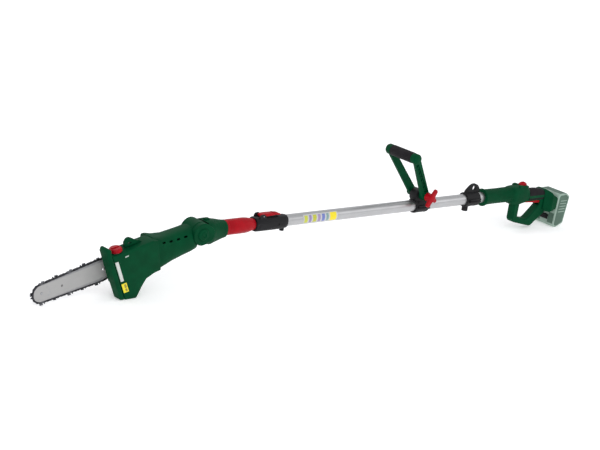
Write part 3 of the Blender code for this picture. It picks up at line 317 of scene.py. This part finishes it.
LOOKS = {
    green: "front_bumper branch_hook head_shell_left head_shell_right swivel_button d_handle",
    shell: "handle_shell_left handle_shell_right",
    yoke: "swivel_yoke",
    red: "oil_cap cover_knob coupling_sleeve lock_lever wing_knob trigger lock_off_button",
    black: "battery_latch sprocket_cover lock_body handle_clamp_upper handle_clamp_lower strap_clamp_upper "
           "strap_clamp_lower",
    inside_black: "oil_pump inner_tube_plug power_switch terminal_block",
    lead_skin: "inner_lead coiled_lead",
    tank_skin: "oil_tank",
    pack_edge_highlight: "battery_shell_front battery_shell_rear",
    cell_wrap: "cell_1 cell_2 cell_3 cell_4 cell_5",
    window: "oil_window",
    front_rubber: "d_grip_rubber",
    rear_rubber: "grip_rubber",
    tube: "outer_tube",
    inner_tube: "inner_tube",
    bar_steel: "guide_bar",
    steel: "motor_can motor_shaft motor_pinion bevel_gear gear_shaft bearing_near bearing_far drive_sprocket "
           "nose_sprocket bar_stud detent_disc pivot_bolt lever_pin lock_screw clamp_bolt strap_screw",
    link_steel: "saw_chain",
}
for finish, names in LOOKS.items():
    for name in names.split():
        thing = nodes[name]
        thing.data.materials.clear()
        thing.data.materials.append(finish.material)

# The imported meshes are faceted: joined corners and a split at real edges shade them smooth.
for thing in nodes.values():
    if "custom_normal" in thing.data.attributes:
        thing.data.attributes.remove(thing.data.attributes["custom_normal"])
    thing.data.shade_smooth()
    weld = thing.modifiers.new("joined corners", "WELD")
    weld.merge_threshold = 1e-5
    split = thing.modifiers.new("real edges", "EDGE_SPLIT")
    split.split_angle = math.radians(33)


# ---------------------------------------------------------------- pieces
def closed(shape, near, far):
    """Closes two matching outlines into a solid: both ends and the walls between them."""
    shape.faces.new(near)
    shape.faces.new(far[::-1])
    for i in range(len(near)):
        j = (i + 1) % len(near)
        shape.faces.new((near[j], near[i], far[i], far[j]))


def prism(shape, outline, low, high, place=UNMOVED):
    """Adds an outline in x and z, as thick as y runs from low to high, to a bmesh."""
    near = [shape.verts.new(place @ Vector((x * MM, low * MM, z * MM))) for x, z in outline]
    far = [shape.verts.new(place @ Vector((x * MM, high * MM, z * MM))) for x, z in outline]
    closed(shape, near, far)


def loop_about_y(shape, station, radii, place=UNMOVED):
    """Corners once round y, one for each radius."""
    corners = []
    for i, radius in enumerate(radii):
        turn = 2 * math.pi * i / len(radii)
        spot = Vector((radius * math.cos(turn) * MM, station * MM, radius * math.sin(turn) * MM))
        corners.append(shape.verts.new(place @ spot))
    return corners


def bridged(shape, first, second):
    """Adds the faces between two loops with as many corners as each other."""
    for i in range(len(first)):
        j = (i + 1) % len(first)
        shape.faces.new((first[i], first[j], second[j], second[i]))


def stacked(shape, rows, place=UNMOVED):
    """Adds a solid about y, from rows of (station, radii), to a bmesh."""
    loops = [loop_about_y(shape, station, radii, place) for station, radii in rows]
    for first, second in zip(loops, loops[1:]):
        bridged(shape, first, second)
    shape.faces.new(loops[0][::-1])
    shape.faces.new(loops[-1])


def disc(shape, profile, steps, place=UNMOVED):
    """Adds a round solid about y, from (station, radius) with rising stations, to a bmesh."""
    stacked(shape, [(station, [radius] * steps) for station, radius in profile], place)


def piece(name, shape, place, body, finish, bevel=0.0):
    """Puts a bmesh in the scene as a piece that rides on a body."""
    bmesh.ops.transform(shape, matrix=place, verts=shape.verts)
    bmesh.ops.recalc_face_normals(shape, faces=shape.faces)
    mesh = bpy.data.meshes.new(name)
    shape.to_mesh(mesh)
    shape.free()
    mesh.shade_smooth()
    mesh.set_sharp_from_angle(angle=math.radians(35))
    mesh.materials.append(finish.material)
    thing = bpy.data.objects.new(name, mesh)
    bpy.context.scene.collection.objects.link(thing)
    if bevel:
        edges = thing.modifiers.new("rounded edges", "BEVEL")
        edges.width = bevel * MM
        edges.segments = 2
        edges.limit_method = "ANGLE"
        edges.angle_limit = math.radians(38)
        edges.use_clamp_overlap = True
    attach(thing, body)
    return thing


def slabs(name, place, body, finish, parts, bevel=0.0):
    """One piece made of prisms, each given as (outline, low y, high y)."""
    shape = bmesh.new()
    for outline, low, high in parts:
        prism(shape, outline, low, high)
    return piece(name, shape, place, body, finish, bevel=bevel)


def flipped(outline):
    """An outline given as (distance ahead of the swivel, height) in the head's x and z."""
    return [(-h, v) for h, v in outline]


# ---------------------------------------------------------------- saw chain
def rivet_places():
    """The chain's rivets once round the bar, as (ahead, height above the bar's middle line)."""
    rear = Vector((DRIVE_H, 0))
    base_top = Vector((BASE_H, BASE_HALF + RIVET_RISE))
    nose = Vector((NOSE_H, 0))
    to_base = base_top - rear
    contact = math.atan2(to_base.y, to_base.x) + math.acos(PITCH_R / to_base.length)
    upper = [rear + PITCH_R * Vector((math.cos(contact + d), math.sin(contact + d)))
             for d in [(math.pi - contact) * i / 12 for i in range(12, -1, -1)]]
    upper.append(base_top)
    upper += [nose + (NOSE_R + RIVET_RISE) * Vector((math.sin(t), math.cos(t)))
              for t in [math.pi / 2 * i / 16 for i in range(17)]]
    loop = upper + [Vector((p.x, -p.y)) for p in reversed(upper[1:-1])]
    lengths = [(b - a).length for a, b in zip(loop, loop[1:] + loop[:1])]
    total = sum(lengths)
    count = 4 * round(total / CUTTER_PITCH)
    places, index, passed = [], 0, 0.0
    for step in range(count):
        wanted = total * (step + 0.35) / count
        while passed + lengths[index] < wanted:
            passed += lengths[index]
            index += 1
        a, b = loop[index], loop[(index + 1) % len(loop)]
        places.append(a + (b - a).normalized() * (wanted - passed))
    return places


# One link's outlines, as (along the chain, outward from the bar), about the middle of its two rivets. The drive
# links have no tangs between the bar's rails, because the sprockets turn and the chain stays still.
DRIVE_LINK = [(-7.5, 0), (-6.9, 1.9), (-5, 2.6), (-2, 2.2), (2, 2.2), (5, 2.6), (6.9, 1.9), (7.5, 0), (6.6, -2),
              (5, -2.2), (-5, -2.2), (-6.6, -2)]
TIE_STRAP = [(-7.3, 0), (-6.6, 1.9), (-4.8, 2.5), (-1.6, 2.0), (1.6, 2.0), (4.8, 2.5), (6.6, 1.9), (7.3, 0),
             (6.6, -1.8), (4.8, -2.2), (-4.8, -2.2), (-6.6, -1.8)]
CUTTER_BASE = [(-7.6, -1.0), (-8.4, 2.0), (-8.2, 4.2), (-0.4, 4.4), (0.2, 2.4), (1.6, 1.3), (3.0, 1.8), (4.2, 3.8),
               (4.9, 5.2), (6.4, 5.0), (7.3, 1.8), (7.4, 0), (6.6, -1.8), (4.8, -2.2), (-5.2, -2.2), (-6.9, -1.9)]
CUTTER_TOP = [(0.7, 2.8), (1.9, 2.6), (3.15, 4.4), (3.15, 5.6), (-0.5, 5.8), (-0.5, 4.9), (2.1, 4.7)]

links, cutters, rivets = bmesh.new(), bmesh.new(), bmesh.new()
places = rivet_places()
for index, first in enumerate(places):
    second = places[(index + 1) % len(places)]
    along = (second - first).normalized()
    middle = (first + second) / 2
    link_place = Matrix((
        (-along.x, 0, along.y, -middle.x * MM),
        (0, -1, 0, BAR_Y * MM),
        (along.y, 0, along.x, (middle.y + BAR_V) * MM),
        (0, 0, 0, 1),
    ))
    if index % 2 == 0:
        prism(links, DRIVE_LINK, -0.65, 0.65, link_place)
    elif index % 4 == 1:
        prism(links, TIE_STRAP, -1.95, -0.75, link_place)
        prism(links, TIE_STRAP, 0.75, 1.95, link_place)
    else:
        side = 1 if index % 8 == 3 else -1
        prism(links, TIE_STRAP, *sorted((-0.75 * side, -1.95 * side)), link_place)
        prism(cutters, CUTTER_BASE, *sorted((0.75 * side, 1.95 * side)), link_place)
        ends = []
        for x, drop in ((-7.8, 0.7), (0.3, 0.0)):
            ends.append([cutters.verts.new(link_place @ Vector((x * MM, y * side * MM, (z - drop) * MM)))
                         for y, z in CUTTER_TOP])
        closed(cutters, *ends)
    hub = Matrix.Translation((-first.x * MM, BAR_Y * MM, (first.y + BAR_V) * MM))
    disc(rivets, [(-2.6, 0.7), (-2.35, 1.5), (-1.95, 1.7), (1.95, 1.7), (2.35, 1.5), (2.6, 0.7)], 10, hub)

chain = piece("chain_links", links, HEAD, "head", link_steel)
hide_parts("saw_chain")
piece("chain_cutters", cutters, HEAD, "head", cutter_steel)
piece("chain_rivets", rivets, HEAD, "head", link_steel)

# ---------------------------------------------------------------- guide bar
bar_rivets = bmesh.new()
for ahead, height in BAR_RIVET_SPOTS:
    for side in (-1, 1):
        spot = Matrix.Translation((-ahead * MM, (BAR_Y + side * 1.5) * MM, (height + BAR_V) * MM))
        dome = [(0, 2.2), (0.25, 2.1), (0.42, 1.2)]
        disc(bar_rivets, dome if side > 0 else [(-s, r) for s, r in reversed(dome)], 18, spot)
piece("bar_rivets", bar_rivets, HEAD, "head", steel)

# ---------------------------------------------------------------- labels
slabs("head_label", HEAD, "head", film_finish("label_yellow", srgb(240, 222, 40)),
      [(flipped([(235.6, -42.5), (250.2, -42.5), (245.0, -67), (230.6, -67)]), -HEAD_SIDE - 0.52, -HEAD_SIDE)])
MARKS_LOW, MARKS_HIGH = -HEAD_SIDE - 0.65, -HEAD_SIDE - 0.2
slabs("head_label_marks", HEAD, "head", film_finish("label_grey", srgb(150, 138, 60)),
      [(flipped([(237.4, -45.5), (243.0, -45.5), (241.0, -55), (235.4, -55)]), MARKS_LOW, MARKS_HIGH),
       (flipped([(235.2, -57), (240.8, -57), (239.2, -64.5), (233.6, -64.5)]), MARKS_LOW, MARKS_HIGH)])


def wrapped(name, stations, turns, finish, lift):
    """A label bent round the outer tube. turns are degrees from -y, toward +z."""
    shape = bmesh.new()
    low_x, high_x = stations
    steps = max(2, int(abs(turns[1] - turns[0]) / 6))
    grid = []
    for radius in (OUTER_R + lift, OUTER_R - 0.2):
        for x in (low_x, high_x):
            row = []
            for i in range(steps + 1):
                t = math.radians(turns[0] + (turns[1] - turns[0]) * i / steps)
                row.append(shape.verts.new((x * MM, -radius * math.cos(t) * MM, radius * math.sin(t) * MM)))
            grid.append(row)
    top_low, top_high, under_low, under_high = grid
    for i in range(steps):
        shape.faces.new((top_low[i], top_high[i], top_high[i + 1], top_low[i + 1]))
        shape.faces.new((under_low[i], under_low[i + 1], under_high[i + 1], under_high[i]))
        shape.faces.new((top_low[i], top_low[i + 1], under_low[i + 1], under_low[i]))
        shape.faces.new((top_high[i], under_high[i], under_high[i + 1], top_high[i + 1]))
    for i in (0, steps):
        shape.faces.new((top_low[i], under_low[i], under_high[i], top_high[i]))
    return piece(name, shape, TOOL, "pole", finish)


wrapped("pole_label", (40, 157), (-44, 56), film_finish("label_white", srgb(196, 197, 197)), 0.10)
PATCHES = [
    ("a", 43, 54, srgb(196, 200, 74)), ("b", 59, 67, srgb(150, 134, 178)), ("c", 72, 84, srgb(190, 190, 60)),
    ("d", 89, 98, srgb(160, 140, 180)), ("e", 103, 113, srgb(112, 124, 190)), ("f", 118, 126, srgb(130, 160, 160)),
    ("g", 131, 153, srgb(244, 222, 30)),
]
for tag, low, high, colour in PATCHES:
    turns = (-38, 50) if tag == "g" else (-32, 44)
    wrapped("pole_label_patch_" + tag, (low, high), turns, film_finish("label_patch_" + tag, colour), 0.17)

# ---------------------------------------------------------------- front handle
ARM_FOOT_Y, ARM_FOOT_Z = 24.6, 33.0  # the middle of an arm at its foot and at the grip
ARM_TOP_Y, ARM_TOP_Z = 50.0, 147.0
LEAN = (ARM_TOP_Y - ARM_FOOT_Y) / (ARM_TOP_Z - ARM_FOOT_Z)
OUTER_EDGE = (Vector((386.5, 133)), Vector((457, 47)))
INNER_EDGE = (Vector((379, 129)), Vector((446, 45)))
for side, word in ((-1, "near"), (1, "far")):
    shear = Matrix.Identity(4)
    shear[1][2] = side * LEAN
    shear[1][3] = side * (ARM_FOOT_Y - LEAN * ARM_FOOT_Z) * MM
    ribs = bmesh.new()
    for number in range(RIB_COUNT):
        share = (number + 0.6) / RIB_COUNT
        lean = 0.035 if number % 2 else -0.035
        a = OUTER_EDGE[0].lerp(OUTER_EDGE[1], share + lean)
        b = INNER_EDGE[0].lerp(INNER_EDGE[1], share - lean)
        across = (OUTER_EDGE[1] - OUTER_EDGE[0]).normalized() * 0.8
        outline = [(a - across)[:], (a + across)[:], (b + across)[:], (b - across)[:]]
        low, high = sorted((side * 1.8, side * 4.9))
        prism(ribs, outline, low, high, shear)
    piece("front_handle_ribs_" + word, ribs, TOOL, "front_handle", green)

# ---------------------------------------------------------------- knobs and buttons
def knob_grip(name, place, count, rim, rim_rows, bar, bar_rows, bar_bevel):
    """Ribs round a knob's rim, between two radii, and a bar (half length, half width, half width at its ends)
    across its face. Rows are low and high y. The knob's body has the same name."""
    inside, outside = rim
    ribs = bmesh.new()
    for number in range(count):
        spot = Matrix.Rotation(2 * math.pi * number / count, 4, "Y")
        prism(ribs, [(inside, -0.9), (outside, -0.6), (outside, 0.6), (inside, 0.9)], *rim_rows, spot)
    piece(name + "_ribs", ribs, place, name, red, bevel=0.25)
    half, wide, narrow = bar
    waist = half - 1.5
    outline = [(-half, -narrow), (-waist, -wide), (waist, -wide), (half, -narrow),
               (half, narrow), (waist, wide), (-waist, wide), (-half, narrow)]
    slabs(name + "_grip", place, name, red, [(outline, *bar_rows)], bevel=bar_bevel)


cap_place = HEAD @ Matrix.Translation((-0.245, -0.018, 0)) @ Matrix.Rotation(math.pi / 2, 4, "X")
knob_grip("oil_cap", cap_place, 18, (14.6, 15.9), (37.4, 43.6), (10.5, 2.6, 1.8), (45.6, 48.6), 0.6)
knob_place = HEAD @ Matrix.Translation((-0.235, 0, BAR_V * MM))
knob_grip("cover_knob", knob_place, 20, (15.6, 17.0), (35.0, 41.6), (11, 3, 2), (44.2, 48.6), 0.7)

ring = bmesh.new()
rows = [(-39.6, 8.6), (-40.9, 8.2), (-41.2, 7.2), (-40.9, 6.2), (-39.6, 5.8)]
loops = [loop_about_y(ring, station, [radius] * 32) for station, radius in rows]
for first, second in zip(loops, loops[1:] + loops[:1]):
    bridged(ring, first, second)
piece("swivel_button_ring", ring, PIVOT, "swivel_button", green)

ridges = []
for x in (-46, -50, -54, -58):
    z = 23.6 + (-38 - x) * 0.11  # the lever's back slopes
    ridges.append(([(x - 0.9, z - 0.4), (x + 0.9, z - 0.6), (x + 0.5, z + 1.1), (x - 0.5, z + 1.2)], -6.4, 6.4))
slabs("lock_lever_ridges", TOOL, "lock_lever", red, ridges, bevel=0.2)
slabs("lock_off_ridges", TOOL, "lock_off", red,
      [([(x - 0.8, 29.6), (x + 0.8, 29.6), (x + 0.4, 31.7), (x - 0.4, 31.7)], -4.8, 4.8)
       for x in (868, 871.3, 874.6, 878)], bevel=0.2)
slabs("battery_latch_ridges", TOOL, "battery_latch", black,
      [([(985.2, z - 0.7), (986.0, z - 0.7), (986.0, z + 0.7), (985.2, z + 0.7)], -10, 10)
       for z in (-74, -77, -80)], bevel=0.15)


# ---------------------------------------------------------------- screws
SCREW_STEPS = 24
SCREW_PROFILE = ((1.0, -0.4), (1.0, 0.35), (0.8, 0.75), (0.5, 0.85))  # share of the radius, and height


def screws(name, body, spots, place, side, radius=3.1):
    """Round screw heads with a six-lobed recess, standing on a face whose normal is side times y."""
    heads = bmesh.new()
    for x, y, z in spots:
        spot = place @ Matrix.Translation((x * MM, y * MM, z * MM))
        if side < 0:
            spot = spot @ Matrix.Rotation(math.pi, 4, "Z")
        lobes = [radius * (0.36 if i % 4 < 2 else 0.46) for i in range(SCREW_STEPS)]
        rows = [(height, [radius * share] * SCREW_STEPS) for share, height in SCREW_PROFILE]
        rows += [(0.85, lobes), (-0.2, [lobe * 0.96 for lobe in lobes])]
        stacked(heads, rows, spot)
    return piece(name, heads, UNMOVED, body, steel)


screws("handle_screws", "pole", [(850, 13.0, -52), (880, 13.0, -81.5), (912, 13.0, -87)], TOOL, 1)
screws("cover_screws", "head", [(-158, 33.0, -20), (-212, 33.0, -62)], HEAD, 1, 3.4)

# Painted highlight: a thin pale strip on the head's near side stands for a glint along the edge of a ledge.
slabs("head_painted_glint", HEAD, "head", film_finish("painted_glint_pale", srgb(170, 186, 176)),
      [(flipped([(232, 24.2), (222, 24.6), (222, 21.4), (232, 21.0)]), -HEAD_SIDE - 0.4, -HEAD_SIDE)])

# ---------------------------------------------------------------- clamps
# A pair of raised beads runs round the underside of each clamp.
BEAD_R = 20.0
BEAD_PROFILE = ((-1.0, -0.3), (-0.6, 0.45), (0.6, 0.45), (1.0, -0.3))  # along the pole, and out from the clamp
BEAD_START, BEAD_END, BEAD_STEPS = 188, 352, 30
for body, stations in (("strap_clamp", (655, 674)), ("handle_clamp", (447, 483))):
    beads = bmesh.new()
    for station in stations:
        rows = []
        for shift, lift in BEAD_PROFILE:
            row = []
            for i in range(BEAD_STEPS + 1):
                t = math.radians(BEAD_START + (BEAD_END - BEAD_START) * i / BEAD_STEPS)
                r = BEAD_R + lift
                row.append(beads.verts.new(((station + shift) * MM, r * math.cos(t) * MM, r * math.sin(t) * MM)))
            rows.append(row)
        for first, second in zip(rows, rows[1:] + rows[:1]):
            for i in range(BEAD_STEPS):
                beads.faces.new((first[i], first[i + 1], second[i + 1], second[i]))
        beads.faces.new([row[0] for row in rows])
        beads.faces.new([row[-1] for row in rows][::-1])
    piece(body + "_beads", beads, TOOL, body, black)

# ---------------------------------------------------------------- battery
# Darker inset panels leave the case's pale painted edge highlight showing round them and on the ribs.
SIDE_PANEL = [(998.6, -14.6), (1002.2, -8.6), (1021, -8.0), (1027, -8.4), (1037.0, -16.0), (1026.6, -84.6),
              (1023.8, -89.4), (1001.8, -98.2), (994.0, -96.0), (992.4, -92.6)]
for side, word in ((-1, "near"), (1, "far")):
    low, high = sorted((side * 37.2, side * 37.85))
    slabs("battery_panel_" + word, TOOL, "battery", pack_panel, [(SIDE_PANEL, low, high)],
          bevel=0.3)
    low, high = sorted((side * 37.6, side * 38.15))
    ribs = []
    for z in (-26, -34, -42, -50, -58):
        lean = (z + 26) * 0.145  # the ribs step forward with the case's slope
        ribs.append(([(1005 + lean, z), (1031 + lean, z), (1031.3 + lean, z + 2.2), (1005.3 + lean, z + 2.2)],
                     low, high))
    slabs("battery_ribs_" + word, TOOL, "battery", pack_edge_highlight, ribs, bevel=0.3)
slabs("battery_panel_top", TOOL, "battery", pack_panel,
      [([(1002.5, -4.9), (1027.5, -4.7), (1027.5, -3.75), (1002.5, -4.05)], -34, 34),
       ([(1030.6, -5.9), (1040.1, -13.3), (1040.5, -12.75), (1031.0, -5.3)], -34, 34)], bevel=0.2)
slabs("battery_panel_front", TOOL, "battery", pack_panel,
      [([(990.2, -62), (991.2, -62), (989.3, -92), (988.0, -92)], low, high)
       for low, high in ((-34, -14.2), (14.2, 34))], bevel=0.15)
slabs("battery_panel_rear", TOOL, "battery", pack_panel,
      [([(1040.2, -17.5), (1041.25, -17.7), (1030.6, -86), (1029.4, -86)], -31, 31)], bevel=0.3)

# ---------------------------------------------------------------- floor, light, camera
floor_mesh = bpy.data.meshes.new("floor")
floor_mesh.from_pydata([(-30, -30, 0), (30, -30, 0), (30, 60, 0), (-30, 60, 0)], [], [(0, 1, 2, 3)])
floor = bpy.data.objects.new("floor", floor_mesh)
bpy.context.scene.collection.objects.link(floor)
paving = Finish("pale_floor", 0.7, 0.0, 0.1)
paving.colour(paving.mixed(paving.noise(3, 2.0), srgb(248, 248, 249), srgb(251, 251, 251)))
paving.shader.inputs["Emission Color"].default_value = (1.0, 1.0, 1.0, 1.0)
paving.shader.inputs["Emission Strength"].default_value = 0.3
floor_mesh.materials.append(paving.material)

world = bpy.data.worlds.new("studio")
world.use_nodes = True
bpy.context.scene.world = world
sky = world.node_tree.nodes["Background"]
sky.inputs["Color"].default_value = (0.97, 0.98, 1.0, 1.0)
sky.inputs["Strength"].default_value = 0.78


def soft_light(name, place, target, size, power, colour=(1, 1, 1)):
    lamp = bpy.data.lights.new(name, "AREA")
    lamp.shape = "RECTANGLE"
    lamp.size, lamp.size_y = size
    lamp.energy = power
    lamp.color = colour
    holder = bpy.data.objects.new(name, lamp)
    holder.location = place
    holder.rotation_euler = (Vector(target) - Vector(place)).to_track_quat("-Z", "Y").to_euler()
    bpy.context.scene.collection.objects.link(holder)


soft_light("key", (-1.4, -2.4, 2.6), (0, 0, 0.1), (2.6, 1.4), 28)
soft_light("fill", (2.4, -1.8, 1.4), (0, 0, 0.1), (1.6, 1.2), 7)
soft_light("rim", (0.4, 2.6, 2.2), (0, 0, 0.1), (3.0, 0.8), 12)

# The camera is placed from the tool: its right and up directions, and where it stands in metres.
CAMERA_RIGHT = Vector((0.74683, -0.65133, 0.13422))
CAMERA_UP = Vector((0.0894, 0.29834, 0.95026))
CAMERA_PLACE = Vector((-3.30086, -3.54101, 1.40879))
camera_data = bpy.data.cameras.new("camera")
camera_data.sensor_width = 36
camera_data.lens = 119.94
camera_data.clip_end = 200
camera = bpy.data.objects.new("camera", camera_data)
stance = Matrix((CAMERA_RIGHT, CAMERA_UP, CAMERA_RIGHT.cross(CAMERA_UP))).transposed().to_4x4()
stance.translation = CAMERA_PLACE
camera.matrix_world = TOOL @ stance
bpy.context.scene.collection.objects.link(camera)
bpy.context.scene.camera = camera

bpy.context.scene.view_settings.view_transform = "Standard"
bpy.context.scene.view_settings.look = "None"
bpy.context.scene.view_settings.exposure = 0.0
